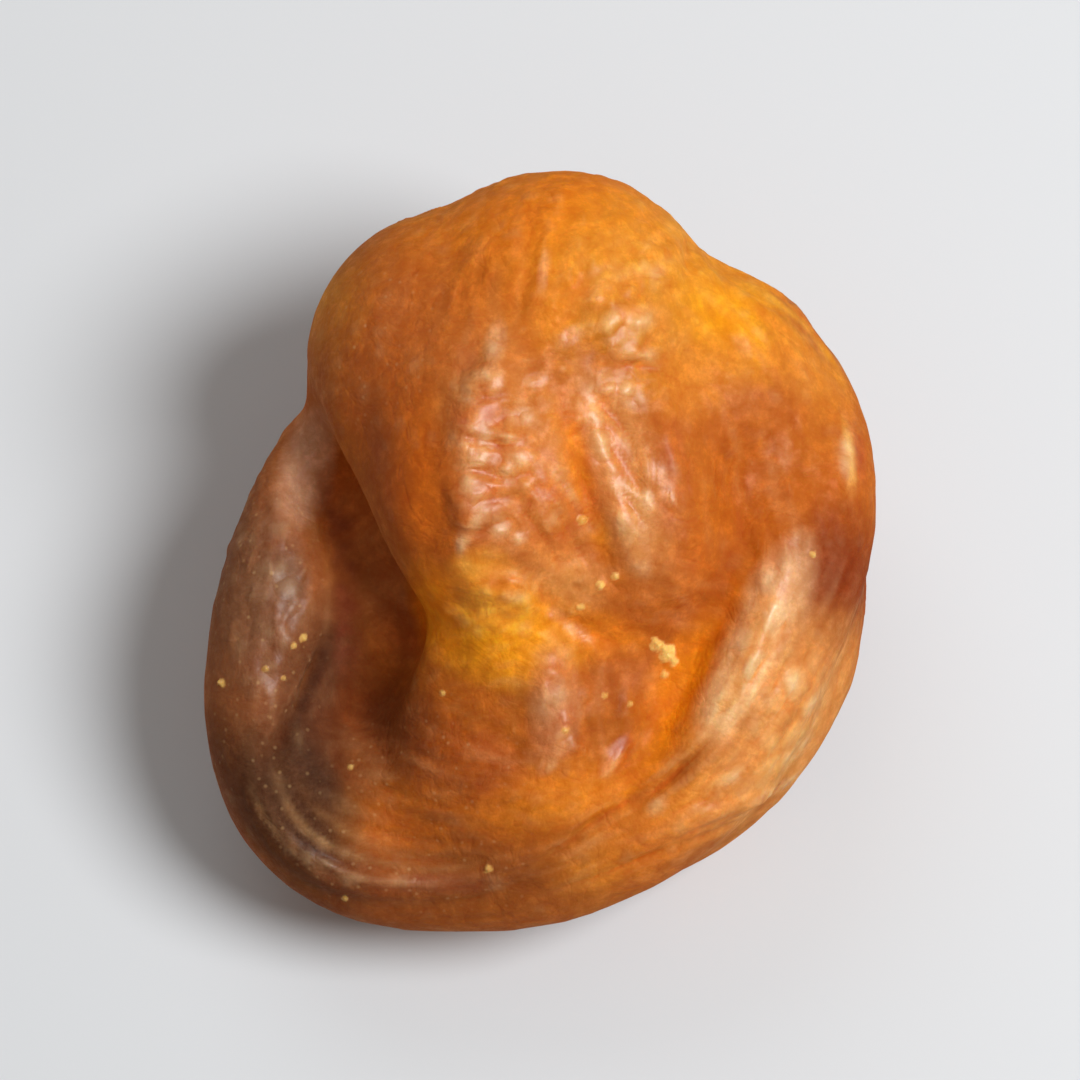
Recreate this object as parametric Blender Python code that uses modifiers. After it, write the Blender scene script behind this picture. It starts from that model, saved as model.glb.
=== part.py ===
"""A dried apricot, whole and pitted, lying on its flattened underside.

Metres, +Z up. The forms are laid out with the collapsed face of the fruit turned straight up:
X across it, Y towards its domed end, Z out of the face, in millimetres on a fruit about 38 mm
wide. The finished skin is then brought to its real width and leaned back to lie as it does on
a table, and its underside is flat where it rests.
"""

import math

import bmesh
import bpy
from mathutils import Matrix, Vector

MM = 0.001

# driving sizes
FRUIT_WIDTH = 35.0 * MM
LEAN_DEG = 15.0
FLAT_DEPTH = 1.0 * MM
SETTLE_BAND = 2.4 * MM
SETTLE_RISE = 0.3 * MM

# the skin's mesh
VOXEL = 0.65 * MM
SOFTEN_PASSES = 12
HOLLOW_SOFTEN_PASSES = 5
TRIANGLES = 5000

SKIN_COLOUR = (0.56, 0.17, 0.03, 1)
SKIN_ROUGHNESS = 0.42

# round masses of the flesh: centre and half sizes in mm
MASSES = {
    "back_cheek": {"centre": (0.8, -2.0, -3.4), "half": (17.8, 17.8, 8.2)},
    "belly": {"centre": (1.0, 2.2, -4.0), "half": (15.8, 14.8, 9.8)},
    "dome": {"centre": (0.8, 12.6, 0.8), "half": (9.4, 9.2, 9.0)},
    "dome_left": {"centre": (-5.0, 10.4, 0.2), "half": (8.6, 9.2, 8.2)},
    "dome_back": {"centre": (1.0, 6.6, -4.0), "half": (14.6, 11.8, 8.2)},
    "right_cheek": {"centre": (10.4, 3.6, -1.6), "half": (8.4, 11.4, 5.6)},
    "right_shoulder": {"centre": (8.4, 8.8, -1.2), "half": (8.0, 8.0, 7.2)},
    "nose_bridge": {"centre": (3.0, -0.4, 3.2), "half": (4.8, 5.8, 4.8)},
    "basin": {"centre": (-1.2, -9.0, 1.2), "half": (8.6, 9.4, 5.4)},
}

# long rolls of flesh: x, y, z and roll radius in mm along each
ROLLS = {
    "rim": (
        (-12.8, 7.0, -4.0, 2.2),
        (-13.9, 2.4, -1.4, 3.3),
        (-15.0, -3.6, -0.4, 4.0),
        (-15.2, -10.6, -0.6, 4.0),
        (-12.2, -16.0, -0.8, 3.9),
        (-4.2, -18.0, -0.8, 3.6),
        (3.2, -16.2, 0.2, 3.9),
        (9.0, -11.2, 1.1, 4.4),
        (12.1, -5.0, 1.4, 4.6),
        (14.2, 2.8, 0.0, 4.9),
        (13.0, 8.6, -2.0, 4.8),
        (9.4, 12.6, -3.0, 4.0),
    ),
    "nose": (
        (-1.6, 12.0, 1.6, 8.0),
        (-2.6, 7.0, 3.2, 7.8),
        (-2.6, 3.0, 4.2, 7.2),
        (-2.0, 0.2, 4.4, 6.0),
        (-0.8, -2.0, 4.0, 4.4),
    ),
    "apron": (
        (-1.8, -2.6, 3.6, 4.6),
        (-0.8, -6.0, 2.8, 4.8),
        (0.4, -10.0, 1.6, 4.2),
        (1.0, -13.4, 0.8, 3.2),
    ),
    "basin_floor": (
        (-10.4, -8.8, -1.6, 3.6),
        (-10.8, -11.4, -0.9, 4.0),
        (-8.4, -14.4, -0.8, 4.0),
        (-3.6, -15.6, -0.8, 3.8),
        (0.6, -14.6, -0.8, 3.8),
    ),
    "right_valley": (
        (10.4, 1.0, 0.4, 4.2),
        (9.6, -4.0, 0.2, 4.2),
        (7.2, -8.6, -0.2, 4.0),
        (4.4, -12.4, -0.6, 4.0),
    ),
    "finger": (
        (4.0, 9.0, 3.0, 5.6),
        (5.4, 3.6, 4.2, 4.8),
        (6.6, -0.4, 4.0, 4.0),
        (7.0, -2.4, 3.4, 3.0),
    ),
}

# hollows pressed into the skin: path, reach to each side and depth, in mm
HOLLOWS = {
    "left_valley": {
        "path": ((-11.8, 7.0, 0), (-10.4, 2.0, 0), (-8.5, -3.0, 1), (-9.4, -7.4, 2)),
        "reach": 3.0,
        "depth": 3.8,
    },
}


def clear_scene():
    for obj in list(bpy.data.objects):
        bpy.data.objects.remove(obj)


def mass_mesh(name, centre, half):
    """A ball squashed to its half sizes."""
    bm = bmesh.new()
    bmesh.ops.create_icosphere(bm, subdivisions=4, radius=1)
    shape = Matrix.Diagonal((*(Vector(half) * MM), 1))
    place = Matrix.Translation(Vector(centre) * MM)
    bmesh.ops.transform(bm, matrix=place @ shape, verts=bm.verts)
    mesh = bpy.data.meshes.new(name)
    bm.to_mesh(mesh)
    bm.free()
    return mesh


def evaluated_mesh(obj):
    graph = bpy.context.evaluated_depsgraph_get()
    return bpy.data.meshes.new_from_object(obj.evaluated_get(graph))


def apply_modifiers(obj):
    """Keeps what the object's modifiers make as its own mesh."""
    obj.data = evaluated_mesh(obj)
    obj.modifiers.clear()


def roll_mesh(name, stations):
    """A round curve that swells and thins along its stations, made a closed mesh."""
    curve = bpy.data.curves.new(name, "CURVE")
    curve.dimensions = "3D"
    curve.bevel_depth = 1
    curve.bevel_resolution = 4
    curve.use_fill_caps = True
    spline = curve.splines.new("BEZIER")
    spline.bezier_points.add(len(stations) - 1)
    for point, (x, y, z, radius) in zip(spline.bezier_points, stations):
        point.co = Vector((x, y, z)) * MM
        point.radius = radius * MM
        point.handle_left_type = point.handle_right_type = "AUTO"
    obj = bpy.data.objects.new(name, curve)
    bpy.context.scene.collection.objects.link(obj)
    mesh = evaluated_mesh(obj)
    bpy.data.objects.remove(obj)
    bm = bmesh.new()
    bm.from_mesh(mesh)
    bmesh.ops.remove_doubles(bm, verts=bm.verts, dist=0.01 * MM)
    bm.to_mesh(mesh)
    bm.free()
    return mesh


def grown_skin():
    """Every mass and roll grown together into one closed skin."""
    bm = bmesh.new()
    for name, form in MASSES.items():
        bm.from_mesh(mass_mesh(name, **form))
    for name, stations in ROLLS.items():
        bm.from_mesh(roll_mesh(name, stations))
    mesh = bpy.data.meshes.new("apricot")
    bm.to_mesh(mesh)
    bm.free()
    obj = bpy.data.objects.new("apricot", mesh)
    bpy.context.scene.collection.objects.link(obj)
    grow = obj.modifiers.new("grow_together", "REMESH")
    grow.mode = "VOXEL"
    grow.voxel_size = VOXEL
    soften = obj.modifiers.new("soften", "SMOOTH")
    soften.factor = 0.5
    soften.iterations = SOFTEN_PASSES
    apply_modifiers(obj)
    return obj


def nearest_on_path(point, path):
    """The nearest point of a polyline to a point."""
    best = None
    for start, end in zip(path, path[1:]):
        along = end - start
        share = (point - start).dot(along) / along.length_squared
        spot = start + along * min(1, max(0, share))
        if best is None or (point - spot).length < (point - best).length:
            best = spot
    return best


def press_hollow(bm, path, reach, depth):
    """Presses the skin down along a path, deepest on the path."""
    path = [Vector(p) * MM for p in path]
    for vert in bm.verts:
        away = (vert.co - nearest_on_path(vert.co, path)).length / (reach * MM)
        if vert.normal.z > 0 and away < 2.5:
            vert.co.z -= depth * MM * math.exp(-away * away) * vert.normal.z


def thin_out(obj):
    """Fewer triangles, where the form is plain."""
    thin = obj.modifiers.new("thin_out", "DECIMATE")
    thin.ratio = TRIANGLES / (2 * len(obj.data.polygons))
    apply_modifiers(obj)


def extents(bm):
    low = Vector(min(v.co[i] for v in bm.verts) for i in range(3))
    high = Vector(max(v.co[i] for v in bm.verts) for i in range(3))
    return low, high


def lean_and_settle(bm):
    """Brings the fruit to its width, leans it back and stands it on its flat spot."""
    low, high = extents(bm)
    width = (high - low).x
    bmesh.ops.scale(bm, verts=bm.verts, vec=Vector((1, 1, 1)) * FRUIT_WIDTH / width)
    bmesh.ops.rotate(bm, verts=bm.verts, matrix=Matrix.Rotation(math.radians(LEAN_DEG), 3, "X"))
    floor = extents(bm)[0].z + FLAT_DEPTH
    for vert in bm.verts:
        height = vert.co.z - floor
        if height < SETTLE_BAND:
            vert.co.z += SETTLE_RISE * (1 - height / SETTLE_BAND) ** 2
    cut = bmesh.ops.bisect_plane(
        bm,
        geom=bm.verts[:] + bm.edges[:] + bm.faces[:],
        dist=0.001 * MM,
        plane_co=(0, 0, floor),
        plane_no=(0, 0, -1),
        clear_outer=True,
    )
    edge = [e for e in cut["geom_cut"] if isinstance(e, bmesh.types.BMEdge)]
    bmesh.ops.contextual_create(bm, geom=edge)
    low, high = extents(bm)
    middle = (low + high) / 2
    bmesh.ops.translate(bm, verts=bm.verts, vec=-Vector((middle.x, middle.y, low.z)))


def skin_material():
    material = bpy.data.materials.new("dried_skin")
    material.use_nodes = True
    shader = material.node_tree.nodes["Principled BSDF"]
    shader.inputs["Base Color"].default_value = SKIN_COLOUR
    shader.inputs["Roughness"].default_value = SKIN_ROUGHNESS
    shader.inputs["Metallic"].default_value = 0
    return material


def main():
    clear_scene()
    fruit = grown_skin()
    bm = bmesh.new()
    bm.from_mesh(fruit.data)
    for hollow in HOLLOWS.values():
        bm.normal_update()
        press_hollow(bm, **hollow)
    for step in range(HOLLOW_SOFTEN_PASSES):
        bmesh.ops.smooth_vert(
            bm, verts=bm.verts, factor=0.5, use_axis_x=True, use_axis_y=True, use_axis_z=True
        )
    bm.to_mesh(fruit.data)
    bm.free()
    thin_out(fruit)
    bm = bmesh.new()
    bm.from_mesh(fruit.data)
    lean_and_settle(bm)
    bmesh.ops.recalc_face_normals(bm, faces=bm.faces)
    bm.to_mesh(fruit.data)
    bm.free()
    fruit.data.materials.clear()
    fruit.data.materials.append(skin_material())
    fruit.data.shade_smooth()


main()
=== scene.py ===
import math

import bmesh
import bpy
from mathutils import Matrix, Vector, noise
from mathutils.bvhtree import BVHTree
from mathutils.geometry import interpolate_bezier
from mathutils.kdtree import KDTree


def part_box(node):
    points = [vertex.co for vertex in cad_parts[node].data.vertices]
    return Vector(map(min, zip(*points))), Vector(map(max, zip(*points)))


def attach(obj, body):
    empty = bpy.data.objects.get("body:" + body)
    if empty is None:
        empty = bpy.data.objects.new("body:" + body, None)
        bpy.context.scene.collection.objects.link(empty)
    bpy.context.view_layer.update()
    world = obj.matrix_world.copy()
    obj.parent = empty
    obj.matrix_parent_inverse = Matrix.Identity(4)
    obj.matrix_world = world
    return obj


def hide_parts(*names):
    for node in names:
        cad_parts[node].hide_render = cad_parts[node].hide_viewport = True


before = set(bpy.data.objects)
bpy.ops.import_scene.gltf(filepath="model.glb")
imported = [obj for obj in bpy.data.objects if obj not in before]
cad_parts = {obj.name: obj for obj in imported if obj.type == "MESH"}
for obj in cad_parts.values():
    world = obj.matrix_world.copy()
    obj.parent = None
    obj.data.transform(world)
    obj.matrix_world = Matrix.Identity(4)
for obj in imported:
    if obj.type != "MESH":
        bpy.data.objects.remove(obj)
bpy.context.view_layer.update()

noise.seed_set(4)       # the same wrinkles on every run

# The skin is worked lying face up in millimetres: x across the fruit, y towards the domed end,
# z out of the folded face. Afterwards it goes back to where the CAD fruit rests.

workbench = {
    "faceWidth": 38.0,      # the fruit's width on the bench
    "faceTop": 11.2,        # the highest spot of the nose
    "leanDegrees": 15.0,    # how far the resting fruit leans back
    "middle": (0.5, 0, -4),     # inside the thick of the flesh
}

skinMesh = {
    "voxel": 0.485,         # side of the first squares, in mm
    "softenPasses": 10,
    "foldSoftening": 0.35,  # how much the big folds are rounded off
    "thinFoldPasses": 12,   # how soft the copies are that find thin and broad folds
    "broadFoldPasses": 90,
    "settleHeight": 1.4,    # the flat spot keeps its shape up to here, in mm
}


def onFloorToBench():
    # the transform from the resting fruit to the bench
    low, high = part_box("apricot")
    scale = workbench["faceWidth"] / (high.x - low.x)
    turn = Matrix.Rotation(math.radians(-workbench["leanDegrees"]), 4, "X") @ Matrix.Scale(scale, 4)
    spots = [turn @ v.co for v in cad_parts["apricot"].data.vertices]
    lowest = [min(s[i] for s in spots) for i in range(3)]
    highest = [max(s[i] for s in spots) for i in range(3)]
    middle = Vector((
        (lowest[0] + highest[0]) / 2,
        (lowest[1] + highest[1]) / 2,
        highest[2] - workbench["faceTop"],
    ))
    return Matrix.Translation(-middle) @ turn


def applyModifiers(piece):
    graph = bpy.context.evaluated_depsgraph_get()
    old = piece.data
    piece.data = bpy.data.meshes.new_from_object(piece.evaluated_get(graph))
    piece.modifiers.clear()
    bpy.data.meshes.remove(old)


def plainSkin(toBench):
    # the CAD fruit as one even mesh of small squares
    bm = bmesh.new()
    bm.from_mesh(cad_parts["apricot"].data)
    bmesh.ops.remove_doubles(bm, verts=bm.verts, dist=0.00001)
    bmesh.ops.transform(bm, matrix=toBench, verts=bm.verts)
    mesh = bpy.data.meshes.new("apricotSkin")
    bm.to_mesh(mesh)
    bm.free()
    skin = bpy.data.objects.new("apricotSkin", mesh)
    bpy.context.scene.collection.objects.link(skin)
    remesh = skin.modifiers.new("evenSquares", "REMESH")
    remesh.mode = "VOXEL"
    remesh.voxel_size = skinMesh["voxel"]
    soften = skin.modifiers.new("soften", "SMOOTH")
    soften.factor = 0.5
    soften.iterations = skinMesh["softenPasses"]
    applyModifiers(skin)
    return skin


def smoothLine(points, step):
    # an even line through given points
    points = [Vector((p[0], p[1], 0)) for p in points]
    line = [points[0]]
    for i in range(len(points) - 1):
        here, there = points[i], points[i + 1]
        before = points[max(0, i - 1)]
        after = points[min(len(points) - 1, i + 2)]
        count = max(2, round((there - here).length / step) + 1)
        leaving, arriving = here + (there - before) / 6, there - (after - here) / 6
        line += interpolate_bezier(here, leaving, arriving, there, count)[1:]
    return line


class Bench:
    # the skin on the bench, with what is needed to find places on it

    startAbove = 60     # rays start this far out, in mm

    def __init__(self, skin):
        self.skin = skin
        self.bm = bmesh.new()
        self.bm.from_mesh(skin.data)
        self.refresh()

    def refresh(self):
        self.bm.normal_update()
        self.bm.verts.ensure_lookup_table()
        self.surface = BVHTree.FromBMesh(self.bm)
        self.tree = KDTree(len(self.bm.verts))
        for vert in self.bm.verts:
            self.tree.insert(vert.co, vert.index)
        self.tree.balance()
        self.facing = [vert.normal.copy() for vert in self.bm.verts]
        self.place = [vert.co.copy() for vert in self.bm.verts]

    def fromAbove(self, x, y):
        # the spot of the skin straight under a point of the bench
        hit = self.surface.ray_cast(Vector((x, y, self.startAbove)), Vector((0, 0, -1)))
        if hit[0] is None:
            hit = self.surface.find_nearest(Vector((x, y, 0)))
        return hit[0], hit[1]

    def within(self, x, y, reach):
        # the vertices near the spot of the skin under a point of the bench
        return self.tree.find_range(self.fromAbove(x, y)[0], reach)

    def fromAround(self, turn, rise):
        # the spot met on the way in to the middle: turned from the front and raised, in degrees
        turn, rise = math.radians(turn), math.radians(rise)
        level = math.cos(rise)
        out = Vector((math.sin(turn) * level, -math.cos(turn) * level, math.sin(rise)))
        hit = self.surface.ray_cast(Vector(workbench["middle"]) + out * self.startAbove, -out)
        return hit[0], hit[1]

    def near(self, points, reach, around=False):
        # each vertex near a line: how far off (0 to 1), how far along (mm), how far to the
        # side (mm) and how far along (0 to 1)
        if around:
            spots = [self.fromAround(p.x, p.y) for p in smoothLine(points, 1.2)]
        else:
            spots = [self.fromAbove(p.x, p.y) for p in smoothLine(points, 0.3)]
        found = {}
        travelled = 0
        for i, (spot, normal) in enumerate(spots):
            before = spots[max(0, i - 1)][0]
            after = spots[min(len(spots) - 1, i + 1)][0]
            travelled += (spot - before).length
            across = (after - before).cross(normal).normalized()
            for co, index, away in self.tree.find_range(spot, reach):
                if index not in found or away < found[index][0]:
                    found[index] = (away, travelled, (co - spot).dot(across))
        return {
            i: (away / reach, along, side, along / travelled)
            for i, (away, along, side) in found.items()
        }

    def move(self, index, height):
        self.bm.verts[index].co += self.facing[index] * height


def bell(share):
    # 1 in the middle, falling softly to 0 at a share of 1
    return (1 - share * share) ** 2 if share < 1 else 0


def profile(shape, share):
    if shape == "ridge":
        return bell(share)
    if shape == "groove":
        return -bell(share)
    shoulder = 0.22 * bell(abs(share - 0.6) / 0.4)
    return shoulder - (1 - share) ** 2      # a crease: a sharp fold with soft shoulders


def folded(wave, sharp):
    # rounds a wave into thin ridges (sharp above 0) or thin creases (sharp below 0)
    fold = (0.35 - abs(wave)) * 1.6     # folded at the wave's middle, and about as high
    return (1 - abs(sharp)) * wave + sharp * fold


def ends(part, soft):
    # fades a stroke in and out at its two ends
    return min(1, part / soft, (1 - part) / soft)


strokes = {
    "waver": (0.35, 0.45),  # how much a fold's height wanders, and how often along it
    "fading": 0.25,         # the share of a fold that fades at each end
    "rippleFading": 0.12,
    "fineRipples": 0.4,     # height of the finer ripples, against the main ones
    "fineCrumples": 0.3,
    "crumpleBend": (0.6, 0.6),
}


def seedOf(name):
    # every fold has its own noise, the same on each run
    return sum(ord(letter) for letter in name) * 0.37


def workStroke(bench, name, shape, points, reach, lift, around=False):
    seed = seedOf(name)
    wander, often = strokes["waver"]
    for index, (share, along, side, part) in bench.near(points, reach, around).items():
        waver = 1 + wander * noise.noise(Vector((along * often, seed, 0)))
        bench.move(index, lift * waver * profile(shape, share) * ends(part, strokes["fading"]))


def workRipples(bench, name, points, reach, height, across, along, sharp, around=False):
    # fine folds that run with the line: across and along are their sizes in mm
    seed = seedOf(name)
    for index, (share, travelled, side, part) in bench.near(points, reach, around).items():
        bend = 0.5 * noise.noise(Vector((travelled / along, side / across * 0.3, seed + 9)))
        wave = noise.noise(Vector((travelled / along, side / across + bend, seed)))
        fine = noise.noise(Vector((travelled / along * 2.1, side / across * 2.3 + bend, seed + 4)))
        wave += strokes["fineRipples"] * fine
        fade = bell(share) ** 0.5
        bench.move(index, height * folded(wave, sharp) * fade * ends(part, strokes["rippleFading"]))


def inPatch(co, centre, half, turn):
    # how deep inside an oval patch of the face a point is, and its place along and across the patch
    dx, dy = co.x - centre[0], co.y - centre[1]
    c, s = math.cos(math.radians(turn)), math.sin(math.radians(turn))
    along, across = dx * c + dy * s, dy * c - dx * s
    return bell(math.hypot(along / half[0], across / half[1])), along, across


def workCrumple(bench, name, centre, half, turn, height, sizes, sharp):
    # a patch of crumpled skin, with folds that run along the patch's own direction
    seed = seedOf(name)
    bendSize, bendReach = strokes["crumpleBend"]
    for index, co in enumerate(bench.place):
        fade, along, across = inPatch(co, centre, half, turn)
        if fade <= 0 or bench.facing[index].z < -0.1:
            continue
        spot = Vector((along / sizes[0], across / sizes[1], co.z / sizes[1] * 0.4 + seed))
        bend = noise.noise_vector(spot * bendSize) * bendReach
        wave = noise.noise(spot + bend) + strokes["fineCrumples"] * noise.noise(spot * 2 + bend)
        bench.move(index, height * folded(wave, sharp) * fade ** 0.5)


# the big folds: kind, points on the face, reach to each side and height, in mm
bigFolds = {
    "leftValley": ("groove", [(-13.2, 8.8), (-11.9, 5.4), (-10.4, 2.4), (-9.2, -0.6), (-7.9, -3.4),
        (-8.6, -6.8), (-10.0, -10.4)], 3.2, 1.5),
    "noseOverhang": ("ridge", [(-12.2, 10), (-10.0, 5), (-7.8, 1.6), (-6.8, -0.6)], 2.6, 0.3),
    "flapCrease": ("crease", [(-11.6, -4.2), (-12.8, -7.4), (-14.4, -10.6), (-15.4, -12.6)],
        1.3, 0.95),
    "rimLedge": ("ridge", [(-16.2, -12.4), (-14.6, -16.2), (-11.7, -18.1), (-8, -18.6),
        (-4.4, -18.4), (-1.8, -17.4), (0.4, -16.4)], 1.3, 0.4),
    "underLedge": ("crease", [(-15.6, -15.9), (-12.4, -18.9), (-8, -19.8), (-4, -19.4),
        (0.4, -18.2)], 1.4, 0.12),
    "rightRim": ("ridge", [(14.0, 2.6), (12.9, -1.2), (11.9, -4.6), (10.6, -7.8), (8.4, -10.8),
        (5.4, -13.4)], 3.0, 0.62),
    "rightValley": ("groove", [(10.2, 3), (10.4, -0.6), (9.8, -4.4), (8.0, -8.2), (5.4, -11.4),
        (3.0, -13.8)], 2.4, 0.35),
    "fingerEdge": ("crease", [(10.2, -1.6), (10.3, -3.2), (9.5, -4.6), (8.0, -5.3), (6.4, -5.0)],
        1.1, 0.3),
    "noseUnderEdge": ("crease", [(-4.6, -1.6), (-3.2, -1.0), (-1.6, -0.8), (-0.2, -1.6),
        (1.0, -3.2), (3.0, -4.6), (5.0, -5.0)], 1.1, 0.35),
    "noseCrest": ("ridge", [(-0.2, 12.4), (-2.5, 9.6), (-3.7, 7.3), (-4.1, 4.4), (-3.6, 1.9),
        (-4.4, 0), (-4.2, -1.8)], 2.0, 0.6),
    "noseCrease": ("crease", [(0.4, 8.6), (1.6, 6.8), (2.3, 4.4), (3.0, 1.6), (3.8, -1.0),
        (4.4, -2.6)], 1.2, 0.28),
    "noseBand": ("ridge", [(2.7, 9.4), (3.2, 6.6), (3.9, 3.6), (4.9, 0.8), (5.9, -1.4)], 1.7, 0.45),
    "noseTrough": ("groove", [(-1.6, 8.4), (-1.2, 6.2), (-0.6, 3.4), (-1.4, 0.6)], 1.4, 0.18),
    "amberRidge": ("ridge", [(-4.6, -2.6), (-3.0, -2.2), (-1.2, -2.4), (0.4, -3.6)], 1.6, 0.4),
    "shoulderNotch": ("crease", [(8.9, 19.0), (8.4, 16.6), (8.2, 14.0)], 1.7, 0.4),
    "domeCrease": ("groove", [(3.0, 15.4), (1.8, 13.8), (0.8, 12.2)], 1.2, 0.2),
    "domeRoll": ("ridge", [(4.4, 14.4), (4.6, 12.4), (5.6, 10.6)], 2.4, 0.3),
    "chinCrest": ("ridge", [(0.0, -5.6), (0.6, -8.0), (1.2, -10.2), (1.4, -12.4)], 1.8, 0.4),
    "chinFold": ("ridge", [(3.0, -12.8), (4.2, -11.4), (5.2, -9.6), (5.6, -7.6)], 1.2, 0.22),
    "chinSide": ("groove", [(-2.0, -6.8), (-1.8, -9.6), (-1.4, -12.4)], 1.8, 0.25),
}

# the small folds, worked after the mesh is made finer
smallFolds = {
    "domeLine": ("ridge", [(1.2, 20), (0.8, 17.8), (0.1, 15.4), (-0.2, 12.6)], 0.7, 0.08),
    "domeLineTwo": ("ridge", [(3.0, 19.6), (2.2, 17.2), (1.2, 15.4)], 0.6, 0.1),
    "domeArcOne": ("crease", [(1.2, 14.0), (3.4, 15.4), (6.2, 16.4), (8.0, 16.2)], 0.8, 0.12),
    "domeArcTwo": ("crease", [(1.6, 12.6), (3.6, 13.4), (5.8, 14.2)], 0.8, 0.12),
    "noseCross": ("crease", [(3.4, 10.6), (4.8, 10.3), (6.4, 10.0), (7.8, 9.0)], 0.9, 0.2),
    "crestRungOne": ("crease", [(-4.8, 8.9), (-3.2, 8.4), (-1.4, 8.8)], 0.7, 0.2),
    "crestRungTwo": ("crease", [(-5.0, 6.7), (-3.4, 6.1), (-1.4, 5.9), (-0.2, 6.6)], 0.7, 0.2),
    "crestRungThree": ("crease", [(-5.2, 4.7), (-3.6, 4.5), (-1.6, 4.0), (-0.2, 4.5)], 0.7, 0.24),
    "crestRungFour": ("crease", [(-4.6, 3.2), (-3.4, 2.7), (-2.0, 3.0), (-0.6, 2.9)], 0.7, 0.2),
    "crestRungFive": ("crease", [(-5.0, 1.5), (-3.6, 1.0), (-2.2, 1.6), (-1.0, 2.2)], 0.7, 0.2),
    "noseFanOne": ("crease", [(-1.9, 3.2), (-0.6, 1.8), (0.6, 0.2), (1.4, -1.6)], 0.7, 0.2),
    "noseFanTwo": ("crease", [(-0.7, 4.0), (0.6, 2.6), (1.8, 0.8), (2.6, -1.2)], 0.7, 0.22),
    "noseFanThree": ("crease", [(0.2, 5.0), (1.3, 3.6), (2.2, 2.0)], 0.6, 0.16),
    "bandCutOne": ("crease", [(3.0, 8.2), (4.2, 7.2), (5.4, 5.6)], 0.7, 0.18),
    "bandCutTwo": ("crease", [(3.5, 6.2), (4.6, 4.8), (5.6, 3.0)], 0.7, 0.18),
    "bandCutThree": ("crease", [(4.0, 4.0), (5.2, 2.4), (6.2, 0.6)], 0.7, 0.18),
    "noseSideLine": ("ridge", [(6.6, 7.6), (7.1, 5.6), (7.6, 3.4)], 0.6, 0.12),
    "shoulderLine": ("ridge", [(9.0, 16.7), (12.0, 15.3), (14.8, 13.6), (16.8, 11.4), (17.8, 9.4)],
        0.7, 0.16),
    "shoulderFanOne": ("ridge", [(9.0, 16.0), (11.4, 14.2), (14.2, 12.2), (16.4, 9.6)], 0.7, 0.12),
    "shoulderFanTwo": ("ridge", [(8.9, 15.2), (10.6, 13.2), (12.2, 10.8)], 0.8, 0.12),
    "chinThread": ("ridge", [(2.9, -12.9), (4.2, -11.5), (4.9, -10.3)], 0.5, 0.16),
    "rimThreadOne": ("crease", [(3.4, -16.6), (6.8, -15.0), (10.0, -13.0), (13.0, -10.4)],
        0.7, 0.1),
    "rimThreadTwo": ("crease", [(-1.0, -18.0), (1.3, -16.4), (4.1, -14.3), (6.7, -12.9),
        (9.0, -11.0), (11.2, -8.8)], 1.0, 0.36),
    "rimThreadThree": ("crease", [(9.6, -11.6), (12.4, -8.4), (14.4, -4.4)], 0.7, 0.12),
    "rimThreadFour": ("ridge", [(3.7, -16.8), (6.7, -15.4), (9.3, -14.6), (12.0, -13.8),
        (14.0, -12.8)], 1.0, 0.34),
    "rimThreadFive": ("crease", [(0.6, -19.0), (4.4, -17.6), (8.2, -16.2), (11.6, -14.9)],
        0.8, 0.2),
    "stripThreadOne": ("ridge", [(13.6, -0.6), (12.7, -3.6), (11.5, -6.6), (10.0, -9.0)],
        0.5, 0.12),
    "stripThreadTwo": ("crease", [(14.0, -2.6), (13.2, -5.4), (11.8, -8.4), (9.6, -11.2)],
        0.7, 0.16),
    "stripThreadThree": ("crease", [(15.4, -4.0), (14.2, -7.4), (12.4, -10.2)], 0.7, 0.12),
    "ledgeThread": ("ridge", [(-15.4, -14.2), (-13.2, -16.6), (-10.2, -18.1), (-6.4, -18.5),
        (-2.6, -17.8)], 0.5, 0.16),
    "basinArcOne": ("crease", [(-12.4, -13.6), (-9.0, -15.6), (-4.6, -16.2), (-0.6, -14.8)],
        0.7, 0.1),
    "basinArcTwo": ("crease", [(-10.4, -12.4), (-7.0, -13.8), (-3.4, -14.0)], 0.7, 0.1),
}

# fine folds along a line: points, reach, height, size across, size along and sharpness
rippleRuns = {
    "lowerRim": ([(-16.6, -9), (-15.6, -14), (-12.0, -17.6), (-6, -18.8), (0, -17.6), (6, -15.4),
        (11.4, -12), (15, -6.4)], 3.6, 0.15, 0.6, 4.0, 0.3),
    "lowerBasin": ([(-11.4, -13.4), (-6, -15.4), (-1.6, -14.8), (2, -13.6)],
        3.0, 0.12, 0.6, 3.0, 0.4),
    "rightRimRun": ([(14.0, 3.2), (13.2, -2.8), (11.4, -6.6), (8.6, -11), (4.4, -14.8)],
        3.2, 0.2, 0.6, 4.0, 0.4),
    "flapRun": ([(-13.6, 5.4), (-14.2, 0), (-15.0, -5), (-15.4, -10)], 3.4, 0.14, 0.7, 2.2, 0.3),
}

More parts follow.
